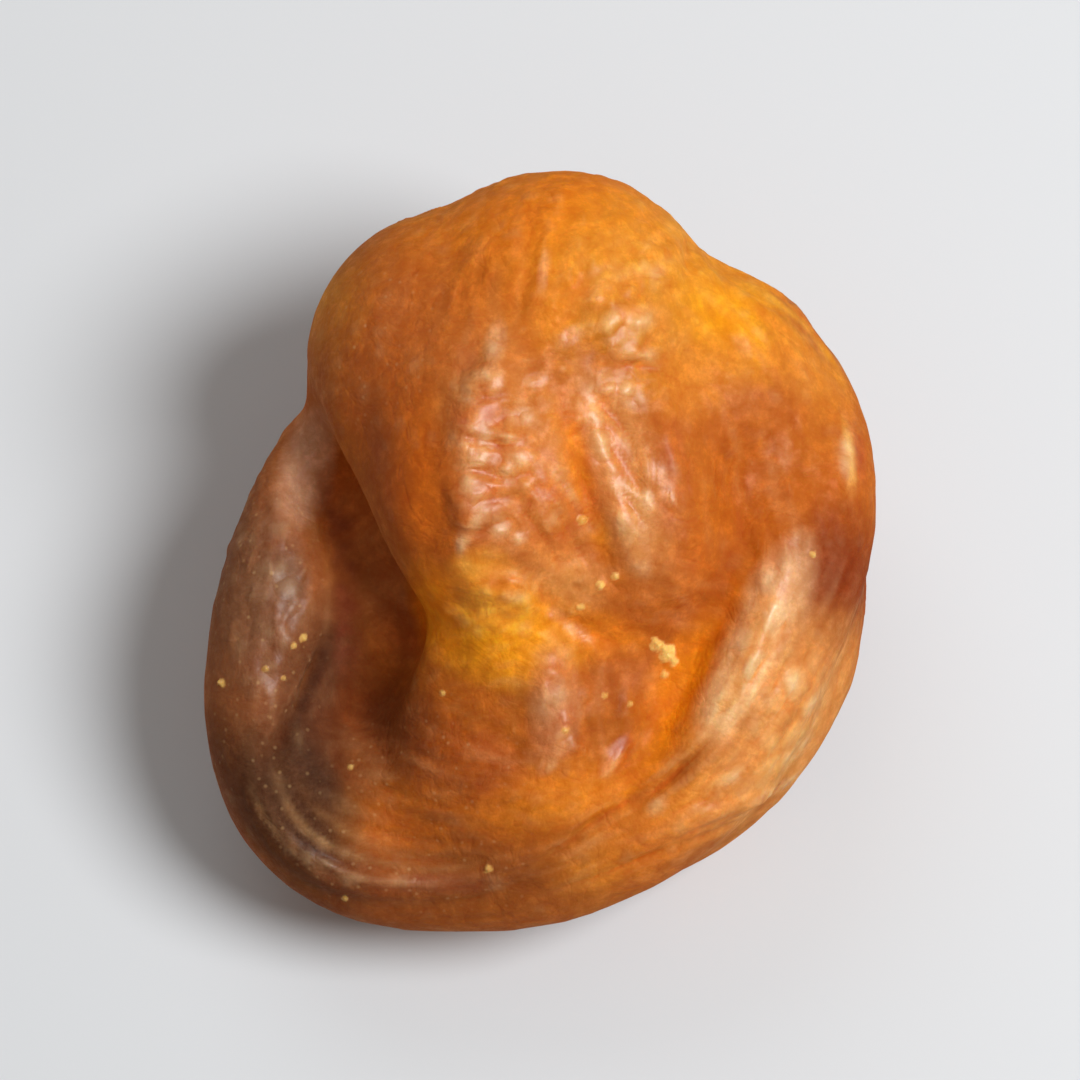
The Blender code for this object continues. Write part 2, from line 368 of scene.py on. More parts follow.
# crumpled skin: centre, half sizes, turn in degrees, height, sizes of the folds and sharpness
crumpledPatches = {
    "crestRungs": ((-2.6, 5.0), (3.6, 7.6), -12, 0.38, (2.0, 1.0), -0.5),
    "noseFan": ((0.8, 1.4), (5.6, 4.2), -52, 0.35, (2.4, 1.0), -0.5),
    "bandRungs": ((4.4, 4.6), (6.8, 3.6), -58, 0.32, (1.7, 0.9), -0.5),
    "noseUpper": ((3.2, 10.4), (6.4, 4.8), 25, 0.3, (1.7, 0.9), -0.4),
    "noseSide": ((7.8, 5.4), (8.0, 3.2), 100, 0.14, (2.4, 0.9), 0.3),
    "noseTip": ((1.8, -3.4), (5.6, 3.6), -35, 0.34, (1.5, 0.9), -0.5),
    "amberLumps": ((-2.2, -3.6), (4.4, 3.4), 20, 0.3, (1.4, 0.9), -0.4),
    "chinCrumple": ((1.6, -8.8), (5.4, 4.4), 100, 0.28, (1.5, 0.9), -0.5),
    "rightStrip": ((12.2, -5.0), (7.0, 3.0), 66, 0.2, (1.8, 0.8), -0.4),
    "lowerRight": ((12.6, -10.6), (7.0, 4.4), 50, 0.18, (3.0, 1.0), -0.4),
    "fingerSkin": ((8.0, -2.6), (3.4, 2.8), -20, 0.1, (1.6, 0.8), 0.3),
    "domeSoft": ((-0.6, 14.6), (12, 7.6), 60, 0.22, (6.0, 3.0), 0.2),
    "domeFine": ((0.6, 14.6), (12, 9.4), 80, 0.18, (2.4, 0.9), -0.3),
    "domeArcs": ((4.4, 14.6), (6.6, 5.2), 25, 0.3, (1.9, 0.9), -0.5),
    "shoulderFan": ((12.4, 12.4), (7.0, 5.0), -45, 0.22, (2.8, 0.8), -0.4),
    "cheekSoft": ((12.4, 5.0), (8.2, 7.6), 100, 0.14, (4.4, 2.6), 0.2),
    "cheekFine": ((13.0, 4.6), (8.6, 7.0), 110, 0.17, (1.7, 0.9), -0.4),
    "basinSoft": ((-4.6, -10.6), (8.4, 7.4), 160, 0.2, (4.2, 2.4), 0.2),
    "basinFine": ((-5.0, -11.6), (9.0, 6.4), 165, 0.1, (1.6, 0.7), -0.3),
    "flapBumps": ((-14.6, -2.6), (10.0, 4.6), 95, 0.2, (1.3, 0.9), -0.4),
}

# the sides and the back, where points are in degrees: round from the front, and up
backFolds = {
    "suture": ("groove", [(176, 16), (174, 2), (172, -14), (170, -38), (168, -66)], 1.8, 0.8),
    "sutureLip": ("ridge", [(184, 10), (182, -4), (180, -18), (178, -40)], 1.6, 0.4),
    "stemPit": ("groove", [(200, 4), (204, 3), (208, 4)], 2.6, 1.0),
    "backTuckOne": ("crease", [(236, 8), (240, -10), (238, -30)], 2.0, 0.6),
    "backTuckTwo": ("crease", [(128, 2), (124, -12), (128, -34)], 2.0, 0.6),
    "backTuckThree": ("crease", [(148, 8), (143, -6), (146, -24)], 1.8, 0.5),
    "backTuckFour": ("crease", [(218, -10), (222, -24), (216, -44)], 1.8, 0.5),
    "sideTuckOne": ("crease", [(40, -10), (56, -16), (74, -14), (92, -20)], 1.8, 0.5),
    "sideTuckTwo": ("crease", [(-30, -14), (-10, -20), (12, -18), (30, -24)], 1.8, 0.5),
    "sideTuckThree": ("crease", [(262, -14), (280, -20), (300, -16)], 1.8, 0.5),
    "sideRoll": ("ridge", [(60, -4), (80, -4), (100, -8)], 2.6, 0.4),
    "frontRoll": ("ridge", [(-24, -8), (-4, -12), (18, -10)], 2.4, 0.35),
}

backRipples = {
    "stemPuckerOne": ([(196, 26), (202, 12), (204, 6)], 1.6, 0.22, 0.8, 3.0, -0.4),
    "stemPuckerTwo": ([(226, 10), (216, 6), (208, 4)], 1.6, 0.22, 0.8, 3.0, -0.4),
    "stemPuckerThree": ([(200, -20), (203, -8), (204, 0)], 1.6, 0.22, 0.8, 3.0, -0.4),
    "stemPuckerFour": ([(184, -4), (192, 1), (200, 4)], 1.4, 0.2, 0.8, 3.0, -0.4),
    "frontRim": ([(-60, -6), (-30, -10), (0, -12), (30, -12), (60, -8), (90, -4), (120, 0)],
        4.0, 0.2, 0.9, 6.0, -0.3),
    "leftRim": ([(240, -6), (262, -6), (284, -8), (306, -8)], 4.0, 0.2, 0.9, 6.0, -0.3),
}

backSkin = {
    "waves": (5.5, 0.45),       # size and height in mm
    "wrinkles": (1.5, 0.36),
    "sharpness": -0.6,          # below 0 the wrinkles are thin creases
    "stretch": 2.6,             # how much longer than wide the wrinkles are, from stem to tip
    "edge": (0.1, 0.6),         # where they begin on the skin's turn, and over how much they grow
}


def workBack(bench):
    for name, fold in backFolds.items():
        workStroke(bench, name, *fold, around=True)
    waveSize, waveHeight = backSkin["waves"]
    wrinkleSize, wrinkleHeight = backSkin["wrinkles"]
    begin, growth = backSkin["edge"]
    for index, (co, facing) in enumerate(zip(bench.place, bench.facing)):
        share = min(1, max(0, (begin - facing.z) / growth))
        if share > 0:
            wave = noise.noise(co / waveSize)
            along = Vector((co.x, co.y / backSkin["stretch"], co.z)) / wrinkleSize
            bend = noise.noise_vector(along * 0.4)
            wrinkle = noise.noise(along + bend) + 0.4 * noise.noise(along * 2 + bend)
            wrinkle = folded(wrinkle, backSkin["sharpness"])
            bench.move(index, share * (waveHeight * wave + wrinkleHeight * wrinkle))
    print("back folds:", len(backFolds))


def workFace(bench):
    for name, fold in bigFolds.items():
        workStroke(bench, name, *fold)
    bmesh.ops.smooth_vert(
        bench.bm, verts=bench.bm.verts, factor=skinMesh["foldSoftening"],
        use_axis_x=True, use_axis_y=True, use_axis_z=True,
    )
    print("big folds:", len(bigFolds))


def refine(bench):
    # four squares for each one, rounded as they are cut
    bench.bm.to_mesh(bench.skin.data)
    bench.bm.free()
    finer = bench.skin.modifiers.new("finer", "SUBSURF")
    finer.levels = 1
    finer.render_levels = 1
    applyModifiers(bench.skin)
    return Bench(bench.skin)


def workDetail(bench):
    for name, patch in crumpledPatches.items():
        workCrumple(bench, name, *patch)
    bench.refresh()
    for name, run in rippleRuns.items():
        workRipples(bench, name, *run)
    for name, fold in smallFolds.items():
        workStroke(bench, name, *fold)
    for name, run in backRipples.items():
        workRipples(bench, name, *run, around=True)
    for spot in paintedGlintSpots:
        x, y, length, width, turn = spot
        for co, index, away in bench.within(x, y, length + width):
            if bench.facing[index].z > 0.3:
                share, strength = inSpot(co, spot, "swell")
                bench.move(index, strength * width * share)
    print("small folds:", len(smallFolds))


def raiseCrumbs(bench):
    # the skin is cut finer round each crumb, then swells into it
    edges = set()
    for x, y, size in pulpCrumbs:
        for co, index, away in bench.within(x, y, size * crumbShape["cutFiner"]):
            edges.update(bench.bm.verts[index].link_edges)
    bmesh.ops.subdivide_edges(bench.bm, edges=list(edges), cuts=2, use_grid_fill=True)
    bench.refresh()
    for x, y, size in pulpCrumbs:
        for co, index, away in bench.within(x, y, size):
            ragged = away / size + crumbShape["raggedness"] * noise.noise(co * 4)
            height = crumbShape["height"] * size * bell(max(0, ragged))
            bench.move(index, height * (1 + 0.6 * noise.noise(co * 8)))
    print("crumbs:", len(pulpCrumbs))


def backToFloor(bench, toBench):
    # the worked skin goes back to its place, and its underside stays flat on the floor
    bm = bench.bm
    bmesh.ops.transform(bm, matrix=toBench.inverted(), verts=bm.verts)
    plain = BVHTree.FromObject(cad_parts["apricot"], bpy.context.evaluated_depsgraph_get())
    settle = skinMesh["settleHeight"] / 1000
    for vert in bm.verts:
        if vert.co.z < settle:
            rest = plain.find_nearest(vert.co)[0]
            share = max(0, vert.co.z / settle)
            vert.co = rest.lerp(vert.co, share * share * (3 - 2 * share))
            vert.co.z = max(0, vert.co.z)
    bm.normal_update()
    bm.to_mesh(bench.skin.data)
    bm.free()
    bench.skin.data.shade_smooth()


skinColours = {
    "base": (0.52, 0.125, 0.009),
    "amber": (0.72, 0.235, 0.012),
    "brown": (0.20, 0.040, 0.008),
    "under": (0.30, 0.066, 0.009),
    # the pale of the light streaks, and the painted highlight on the puffed spots
    "paleAndPaintedSheen": (1.0, 0.64, 0.30),
    "pulp": (0.95, 0.58, 0.16),
    "cloudSizes": (7.5, 3),     # in mm, where the skin turns amber or brown by itself
    "cloudStrength": 1.7,
    "faceEdge": (0.55, 0.6),    # where the face's patches begin on the skin's turn, and how softly
}

# patches of colour on the face, with painted shade and painted sheen among them as marked: centre,
# half sizes, turn, colour and strength
colourPatches = {
    "domeTop": ((0, 18.5), (14, 8), 0, (0.82, 0.215, 0.003), 0.9),
    "domeLeft": ((-10.5, 12.5), (7, 8), 60, (0.47, 0.105, 0.007), 0.9),
    "domeMid": ((-5, 13), (6, 5), 20, (0.60, 0.145, 0.016), 0.7),
    "domeRight": ((5, 14.5), (6.5, 6.5), 0, (0.78, 0.31, 0.02), 0.85),
    "domeCrease": ((1.2, 13.2), (3.2, 1.2), 55, (0.78, 0.24, 0.008), 0.9),
    "shoulder": ((11.0, 13.2), (5.0, 3.6), 130, (0.90, 0.34, 0.0002), 1.0),
    "shoulderRim": ((14.8, 11), (5, 2.6), -55, (0.72, 0.25, 0.02), 0.7),
    "cheek": ((12.6, 2.8), (6.6, 7.6), 90, (0.52, 0.115, 0.003), 0.85),
    # painted shadow over the cheek's lower end
    "cheekLowShadow": ((16.6, -1.2), (5.2, 3.8), 80, (0.23, 0.028, 0.0005), 1.0),
    # painted sheen along the nose's crest
    "noseRidgeSheen": ((-2.6, 5.4), (8, 3.8), 95, (0.61, 0.20, 0.045), 0.85),
    "noseMid": ((0.8, 5.6), (6.6, 4.6), 100, (0.72, 0.245, 0.04), 0.8),
    # painted sheen along the nose's second band
    "noseBand": ((4.6, 4.2), (7.6, 2.6), 108, (0.75, 0.315, 0.09), 0.85),
    "noseCrease": ((2.2, 5.0), (4.6, 0.9), 106, (0.66, 0.135, 0.012), 0.85),
    "noseRight": ((8.2, 3.4), (2.8, 7), 0, (0.50, 0.11, 0.008), 0.8),
    "noseRightUp": ((8.8, 9.6), (3.4, 2.6), 30, (0.72, 0.23, 0.016), 0.85),
    "valley": ((-9.2, -0.8), (2.2, 6.6), 18, (0.52, 0.15, 0.036), 0.9),
    "noseLeft": ((-6.6, 4), (2.6, 7.4), 8, (0.70, 0.145, 0.006), 0.9),
    # painted shadow of the nose on the valley beside it
    "noseShadow": ((-8.9, 5.5), (1.8, 6), 15, (0.40, 0.08, 0.008), 0.8),
    "flap": ((-15.8, -3), (5.4, 12.4), 0, (0.225, 0.086, 0.036), 1.0),
    # painted sheen: the pale grey spots on the flap
    "flapSheen": ((-13.9, -1.6), (1.3, 2.8), 4, (0.17, 0.08, 0.044), 0.7),
    "flapTopSheen": ((-13.2, 4.7), (1.8, 3.9), -10, (0.78, 0.42, 0.25), 0.95),
    # painted shade over the flap's own darker brown: its inside, its foot and the lower left
    "flapInnerShade": ((-12.0, -7.6), (3.1, 8.0), -14, (0.082, 0.028, 0.012), 1.0),
    "flapBaseShade": ((-12.8, -12.4), (4.7, 4.9), 20, (0.060, 0.021, 0.010), 1.0),
    "flapLowShade": ((-15.6, -13.0), (6.4, 3.0), -50, (0.085, 0.024, 0.007), 0.95),
    "basin": ((-4.2, -11.8), (7.4, 6), -10, (0.42, 0.080, 0.002), 0.9),
    "basinLow": ((-5.6, -14.4), (4.6, 2.0), -6, (0.56, 0.135, 0.007), 0.8),
    # painted shade at the foot of the left valley
    "basinUpShade": ((-9.2, -9.2), (4.4, 4.8), 0, (0.17, 0.036, 0.006), 0.9),
    "rimLow": ((-6, -19), (13, 3.4), 5, (0.27, 0.065, 0.007), 0.95),
    # painted shade over the darker outer skin at the lower left
    "rimLeftShade": ((-13.4, -16.0), (6.0, 3.6), -45, (0.06, 0.016, 0.005), 1.0),
    "amber": ((-1.6, -4.4), (5.6, 3.6), -10, (1.0, 0.365, 0.004), 0.97),
    "amberPale": ((-2.4, -3.2), (2.4, 1.6), 0, (1.0, 0.44, 0.03), 0.85),
    "amberTop": ((-3.4, -0.8), (2.2, 1.3), 10, (0.96, 0.36, 0.03), 0.85),
    "amberLeft": ((-5.8, -3.2), (1.7, 3.4), 15, (1.0, 0.27, 0.002), 1.0),
    # painted light over the amber flesh, lighter where the skin under the nose faces down
    "amberRight": ((3.6, -4.6), (3.0, 1.6), -20, (0.80, 0.22, 0.008), 0.85),
    "brownPatch": ((4.8, -6.8), (3.2, 2.0), 10, (0.52, 0.135, 0.02), 0.8),
    "finger": ((7.8, -2.4), (3.4, 2.8), -10, (0.56, 0.135, 0.016), 0.9),
    "fingerEdge": ((10.4, -2.6), (1.4, 3), 0, (0.42, 0.08, 0.002), 0.85),
    "rightValley": ((7.6, -8.4), (9, 2.7), 55, (0.92, 0.26, 0.001), 0.95),
    # painted sheen over the right strip and the skin below it
    "strip": ((12.2, -5.0), (7.2, 2.4), 68, (0.92, 0.53, 0.25), 0.95),
    "lowerRight": ((12.8, -10.0), (9.0, 4.8), 54, (0.84, 0.36, 0.09), 0.9),
    "lowerMid": ((5.5, -16), (6, 2.6), 25, (0.70, 0.20, 0.014), 0.85),
    "lowerTan": ((8.0, -14.0), (3.4, 1.8), 30, (0.90, 0.31, 0.03), 0.8),
    # painted sheen down the chin
    "chin": ((0.8, -8.4), (1.7, 4.4), 0, (0.62, 0.24, 0.09), 0.85),
    "chinFoot": ((1.6, -13.2), (4.6, 2.4), 8, (0.78, 0.22, 0.007), 0.85),
    "basinRight": ((-1.6, -14.8), (3.2, 1.8), -4, (0.60, 0.155, 0.005), 0.7),
    # painted sheen at the strip's lower end
    "stripLowSheen": ((10.4, -8.2), (3.0, 1.9), 60, (0.94, 0.56, 0.26), 0.85),
    "chinRight": ((4.6, -9.6), (2.4, 3.4), -10, (0.42, 0.10, 0.005), 0.85),
    # painted light, lighter where the skin under the nose tip faces down
    "noseLowMid": ((1.4, -1.4), (3.0, 2.2), -30, (0.76, 0.30, 0.07), 0.85),
}

skinGloss = {
    "plain": 0.18,          # away from the waxy patches, and how much it varies there
    "variation": 0.2,
    "lostInHollows": 1.2,
    "dryness": 0.6,         # how far below 0 the driest skin goes
}

# where the skin is waxy: centre, half sizes, turn and gloss, from 0 (dull) to 1
glossPatches = [
    ((-3.2, 5.6), (7.6, 2.2), 95, 0.95),        # the nose's crest
    ((0.8, 2.6), (4.6, 2.6), 120, 0.75),
    ((4.0, 4.8), (6.6, 1.5), 106, 0.95),        # its second band
    ((4.6, 11.4), (3.8, 3.0), 60, 0.8),
    ((4.6, 14.6), (4.0, 2.8), 20, 0.5),
    ((12.8, 11.6), (4.4, 3.0), -45, 0.42),
    ((12.6, 5.2), (4.0, 3.0), 100, 0.3),
    ((-2.2, -2.8), (3.8, 2.6), 0, 0.6),         # amber folds
    ((1.0, -8.4), (1.5, 4.2), 0, 0.75),         # chin
    ((4.4, -11.2), (2.0, 0.9), 55, 0.9),
    ((-14.4, -1.4), (2.8, 7.0), 5, 0.5),        # flap
    ((-15.2, -7.0), (2.2, 4.4), 0, 0.6),
    ((12.2, -4.0), (1.4, 6.4), -20, 1.0),       # right strip
    ((13.4, -9.0), (3.0, 6.8), -35, 0.7),
    ((8.4, -14.6), (6.0, 2.4), 32, 0.5),
    ((-12.6, -16.9), (4.6, 0.9), -38, 0.8),     # rim ledge
    ((-6.0, -18.5), (5.6, 0.8), 2, 0.8),
    ((17.6, 5.2), (0.9, 2.4), 0, 1.0),
    ((15.2, 12.8), (4.6, 1.2), -50, 0.7),
    ((7.4, 3.6), (1.4, 5.4), 0, 0.45),
]

# where the skin is driest, without any shine: the same, with dryness
dullPatches = [
    ((-12.4, -8.0), (2.6, 7.0), -14, 1.0),
    ((-12.6, -12.4), (4.4, 4.6), 20, 1.0),
    ((-10.0, 0.0), (2.0, 7.0), 4, 0.8),
    ((-9.4, -7.0), (2.4, 4.0), 0, 0.8),
]

# where a fine pale bloom dusts the skin
bloomPatches = [
    ((-16.0, -4.0), (5.0, 13.0), 0),
    ((-13.6, -14.0), (3.4, 6.0), 36),
    ((-7.0, -17.0), (9.0, 4.0), -5),
    ((-6.0, -12.0), (6.0, 5.0), 0),
    ((-10.0, 12.0), (6.0, 6.0), 0),
]

# small puffed spots, shiny, each with a painted highlight: place, half length, half width and turn
paintedGlintSpots = [
    (-2.4, 11.4, 1.2, 0.5, 80), (-2.8, 9.7, 0.8, 0.4, 10), (-2.4, 9.1, 0.7, 0.35, 80),
    (-3.5, 7.2, 0.8, 0.38, 80), (-4.0, 5.4, 1.0, 0.38, 95), (-3.3, 4.9, 0.6, 0.3, 20),
    (-4.0, 3.6, 0.7, 0.32, 90), (-3.3, 2.8, 0.7, 0.32, 30), (-3.5, 1.6, 0.9, 0.32, 70),
    (-4.2, 0.6, 0.8, 0.35, 80), (-0.2, 9.4, 0.7, 0.38, 0), (-1.0, 7.4, 0.7, 0.42, 10),
    (-1.5, 6.0, 0.7, 0.32, -10), (-0.9, 5.1, 1.0, 0.46, -10), (-2.2, 4.3, 0.8, 0.32, 15),
    (1.2, 3.7, 1.4, 0.26, -50), (2.8, 8.4, 0.9, 0.38, 85), (2.9, 7.2, 0.8, 0.42, 85),
    (3.4, 5.9, 0.9, 0.38, -70), (3.9, 4.0, 1.0, 0.34, -75), (4.3, 1.9, 0.9, 0.34, -75),
    (4.7, 8.7, 1.4, 0.62, -35), (4.6, 10.7, 0.8, 0.42, 0), (5.9, 10.8, 0.6, 0.38, 0),
    (5.6, 12.7, 0.9, 0.62, 20), (4.2, 12.9, 0.7, 0.42, 30), (1.7, 11.8, 0.8, 0.42, 40),
    (6.4, 4.4, 0.8, 0.42, -60), (7.0, 3.2, 0.6, 0.34, -60), (5.9, 2.8, 0.7, 0.36, -70),
    (-2.2, 1.1, 0.6, 0.42, 0), (-1.1, 0.8, 0.5, 0.34, 0), (5.4, -0.1, 1.3, 0.6, -70),
    (-1.5, -2.4, 0.7, 0.34, 0), (2.0, -4.3, 1.0, 0.3, -35), (0.9, -3.4, 0.6, 0.3, -20),
    (1.3, -10.4, 0.8, 0.45, 60), (0.4, -11.8, 0.6, 0.36, 40), (4.0, -11.7, 0.9, 0.3, 50),
    (12.3, -3.6, 1.5, 0.5, 68), (11.6, -5.2, 1.3, 0.5, 62), (11.0, -7.2, 1.4, 0.55, 60),
    (10.1, -8.5, 1.0, 0.5, 60), (13.9, -7.3, 1.2, 0.5, 60), (15.3, -8.4, 1.0, 0.5, 60),
    (14.4, -11.1, 1.1, 0.45, 40), (13.2, -13.4, 1.6, 0.3, 24), (15.2, -12.4, 1.2, 0.3, 30),
    (10.4, -12.5, 0.7, 0.4, 30), (6.5, -14.1, 0.7, 0.4, 40), (17.2, 5.4, 1.5, 0.5, 88),
    (6.4, 15.4, 0.5, 0.3, 20), (0.2, 15.4, 1.2, 0.24, 84),
]

# how far past a spot its swelling, gloss and painted highlight reach, along and across, and their
# strength
glintSpotShape = {
    "swell": (1.4, 1.7, 0.22),
    "gloss": (1.2, 1.3, 1.05),
    "highlightPaint": (1.4, 1.6, 0.36),
}

# where fine light and dark streaks run along the skin, the light ones partly painted sheen: place,
# half sizes, turn, the streaks' length and width, and strength
streakPatches = [
    ((-1.0, 15.0), (10.0, 11.0), 80, (4.0, 0.7), 0.09),
    ((5.0, 14.6), (6.0, 5.0), 25, (2.2, 0.7), 0.12),
    ((12.0, 12.6), (7.0, 5.0), -45, (3.6, 0.5), 0.09),
    ((12.6, 4.4), (8.0, 6.0), 100, (2.6, 0.6), 0.12),
    ((12.4, -8.6), (11.0, 5.6), 58, (4.0, 0.5), 0.2),
    ((4.0, -15.4), (8.0, 4.0), 24, (4.0, 0.5), 0.16),
    ((-5.4, -13.0), (8.0, 5.0), 168, (3.4, 0.5), 0.16),
    ((-14.6, -4.0), (11.0, 4.4), 94, (2.2, 0.6), 0.12),
    ((-1.4, -4.6), (5.4, 4.0), 15, (1.4, 0.5), 0.14),
    ((7.4, -2.6), (4.0, 3.0), -20, (1.6, 0.6), 0.14),
    ((2.4, -9.0), (5.0, 4.6), 95, (2.0, 0.6), 0.14),
]

# thin marks that follow the folds, with painted shade and painted highlights among them as marked:
# points, reach, colour and strength
colourLines = {
    "orangeCrease": ([(0.2, 8.2), (1.5, 6.7), (2.2, 4.2), (3.1, 1.5), (4.0, -0.9)],
        0.8, (0.82, 0.26, 0.006), 0.65),
    # painted shade along the left valley and in the flap's crease
    "valleyEdgeShade": ([(-11.9, 4.6), (-11.2, 1), (-10.9, -2), (-10.8, -5), (-11.2, -7.4)],
        1.1, (0.20, 0.03, 0.012), 0.7),
    "flapCrease": ([(-11.7, -4.4), (-12.8, -7.4), (-14.4, -10.6), (-15.4, -12.6)],
        0.5, (0.06, 0.015, 0.006), 0.7),
    # painted highlights along the crests of the rim ledge
    "ledgeHighlight": ([(-15.6, -13.4), (-13.4, -16.5), (-10.2, -18.1), (-6.2, -18.5), (-2.6, -17.8)],
        0.4, (0.36, 0.17, 0.07), 0.35),
    "ledgeHighlightTwo": ([(-15.0, -11.4), (-14.0, -14.4), (-12.0, -16.4), (-9.4, -17.4)],
        0.4, (0.40, 0.19, 0.08), 0.5),
    "ledgeHighlightThree": ([(-13.8, -12.6), (-11.4, -15.2), (-7.6, -16.8), (-3.4, -16.8)],
        0.4, (0.50, 0.20, 0.06), 0.35),
    "fingerGlow": ([(10.7, -0.6), (10.9, -2.4), (10.3, -4.2), (9.0, -5.6)],
        0.8, (0.70, 0.165, 0.003), 0.75),
    "shoulderEdge": ([(8.9, 16.6), (9.2, 14.6), (9.8, 12.8)], 0.7, (0.86, 0.36, 0.02), 0.6),
    # painted highlight along the shoulder's rim edge
    "shoulderFan": ([(9.0, 16.2), (12.0, 14.8), (14.6, 13.0), (16.4, 10.8), (17.2, 9.0)],
        0.7, (0.95, 0.46, 0.02), 0.7),
    "shoulderFanTwo": ([(9.4, 15.8), (12.0, 13.8), (14.2, 11.8), (15.4, 9.8)],
        0.6, (0.70, 0.22, 0.008), 0.5),
    "rimUnderLine": ([(6.0, -18.0), (9.8, -16.4), (13.4, -14.6), (16.6, -12.2)],
        1.1, (0.42, 0.11, 0.010), 0.7),
    "stripShadow": ([(14.4, -2.4), (13.4, -5.8), (12.0, -8.8), (9.6, -11.8)],
        0.6, (0.62, 0.20, 0.03), 0.5),
    "lowerStreak": ([(2.0, -15.4), (6.4, -13.4), (10.4, -10.6), (13.4, -7.0)],
        0.6, (0.60, 0.17, 0.015), 0.5),
    "lowerStreakTwo": ([(1.0, -17.4), (5.8, -15.9), (9.8, -13.6), (13.4, -10.4)],
        0.5, (0.58, 0.17, 0.016), 0.5),
    "edgeGlint": ([(16.9, 7.8), (17.3, 6.0), (17.4, 4.2), (17.2, 3.0)],
        0.5, (1.0, 0.56, 0.10), 0.5),
    "foldUnderStrip": ([(-1.0, -18.0), (1.3, -16.4), (4.1, -14.3), (6.7, -12.9), (9.0, -11.0),
        (11.2, -8.8)], 0.5, (0.50, 0.14, 0.012), 0.6),
    "amberCrest": ([(-4.4, 0.2), (-3.9, -0.9), (-2.6, -1.0), (-1.4, -1.0), (-0.6, -1.6)],
        0.5, (1.0, 0.50, 0.10), 0.4),
    # more painted highlights along the crests of the rim ledge
    "ledgeHighlightFour": ([(-16.4, -12.4), (-15.2, -15.0), (-13.0, -17.2), (-9.8, -18.8)],
        0.35, (0.42, 0.20, 0.08), 0.5),
    "ledgeHighlightFive": ([(-14.6, -13.4), (-12.8, -15.6), (-10.4, -16.9), (-6.4, -17.7),
        (-2.8, -17.2)], 0.3, (0.46, 0.22, 0.08), 0.45),
    "domeArcPale": ([(1.4, 13.2), (3.4, 14.6), (6.0, 15.8), (7.8, 15.6)],
        0.5, (0.92, 0.44, 0.10), 0.3),
    "domeArcPaleTwo": ([(1.6, 11.6), (3.6, 12.6), (6.0, 13.4), (7.6, 12.8)],
        0.5, (0.92, 0.44, 0.12), 0.3),
    "basinGrain": ([(-12.6, -9.6), (-10.6, -12.6), (-7.0, -14.4), (-2.6, -15.0)],
        0.5, (0.22, 0.05, 0.010), 0.4),
    "basinGrainTwo": ([(-11.6, -8.2), (-9.6, -10.8), (-6.4, -12.6), (-2.6, -13.2)],
        0.5, (0.26, 0.06, 0.010), 0.4),
}

# crumbs of dried pulp on the skin: place and size in mm
pulpCrumbs = [
    (6.5, -5.1, 0.45), (7.1, -5.5, 0.48), (7.4, -6.0, 0.34), (6.9, -5.9, 0.30), (6.9, -6.8, 0.28),
    (2.3, 1.8, 0.33), (3.3, -1.8, 0.31), (4.1, -1.3, 0.26), (2.2, -3.0, 0.26), (3.6, -7.9, 0.22),
    (1.4, -9.8, 0.26), (-17.8, -7.3, 0.30), (-15.3, -6.5, 0.22), (-13.7, -5.2, 0.22),
    (-13.2, -4.8, 0.26), (-14.3, -7.0, 0.20), (-10.6, -12.0, 0.20), (-5.4, -7.8, 0.20),
    (-2.9, -17.6, 0.26), (-10.9, -19.4, 0.22), (15.1, -0.1, 0.22), (5.0, -8.4, 0.20),
]

crumbShape = {
    "height": 0.6,          # as a share of the crumb's size
    "cutFiner": 1.3,        # the skin is cut finer this far round it
    "raggedness": 0.4,
}

# marks on the sides and back: degrees round and up, size in mm and colour
backMarks = [
    (204, 4, 2.4, (0.10, 0.028, 0.010)),
    (204, 4, 1.0, (0.05, 0.018, 0.010)),
    (172, 4, 4.0, (0.34, 0.07, 0.008)),
    (171, -24, 4.0, (0.32, 0.065, 0.008)),
    (150, 12, 6.0, (0.74, 0.25, 0.014)),
    (222, 22, 5.0, (0.70, 0.22, 0.012)),
    (250, -12, 6.0, (0.26, 0.055, 0.010)),
    (110, -6, 6.0, (0.60, 0.16, 0.010)),
    (84, -10, 5.0, (0.24, 0.045, 0.007)),
    (30, -14, 6.0, (0.68, 0.22, 0.018)),
    (-20, -12, 6.0, (0.28, 0.064, 0.010)),
]


def keepOnSkin(mesh, name, values):
    mesh.attributes.new(name, "FLOAT", "POINT").data.foreach_set("value", values)


def nearSpot(co, spot):
    return abs(co.x - spot[0]) < 2 and abs(co.y - spot[1]) < 2


def inSpot(co, spot, effect):
    # how deep inside a puffed spot a point is, and the effect's strength
    x, y, length, width, turn = spot
    longer, wider, strength = glintSpotShape[effect]
    return inPatch(co, (x, y), (length * longer, width * wider), turn)[0], strength


def waxiness(co, facing, hollow):
    # how waxy one spot is: most on patches and puffed spots, less in hollows, below 0 where dry
    shine = [skinGloss["plain"] + skinGloss["variation"] * noise.noise(co / 5)]
    for centre, half, turn, value in glossPatches:
        shine.append(value * inPatch(co, centre, half, turn)[0] ** 0.5)
    for spot in paintedGlintSpots:
        if facing.z > 0.3 and nearSpot(co, spot):
            share, strength = inSpot(co, spot, "gloss")
            shine.append(strength * share ** 0.5)
    dry = 0
    for centre, half, turn, value in dullPatches:
        dry += value * inPatch(co, centre, half, turn)[0] ** 0.5
    loss = min(0.9, max(0, hollow * skinGloss["lostInHollows"]))
    return max(shine) * (1 - loss) * max(0, 1 - dry) - skinGloss["dryness"] * dry


def dustiness(co):
    bloom = [0.08 + 0.25 * noise.noise(co / 6)]
    for centre, half, turn in bloomPatches:
        bloom.append(inPatch(co, centre, half, turn)[0] ** 0.5)
    return max(0, *bloom)


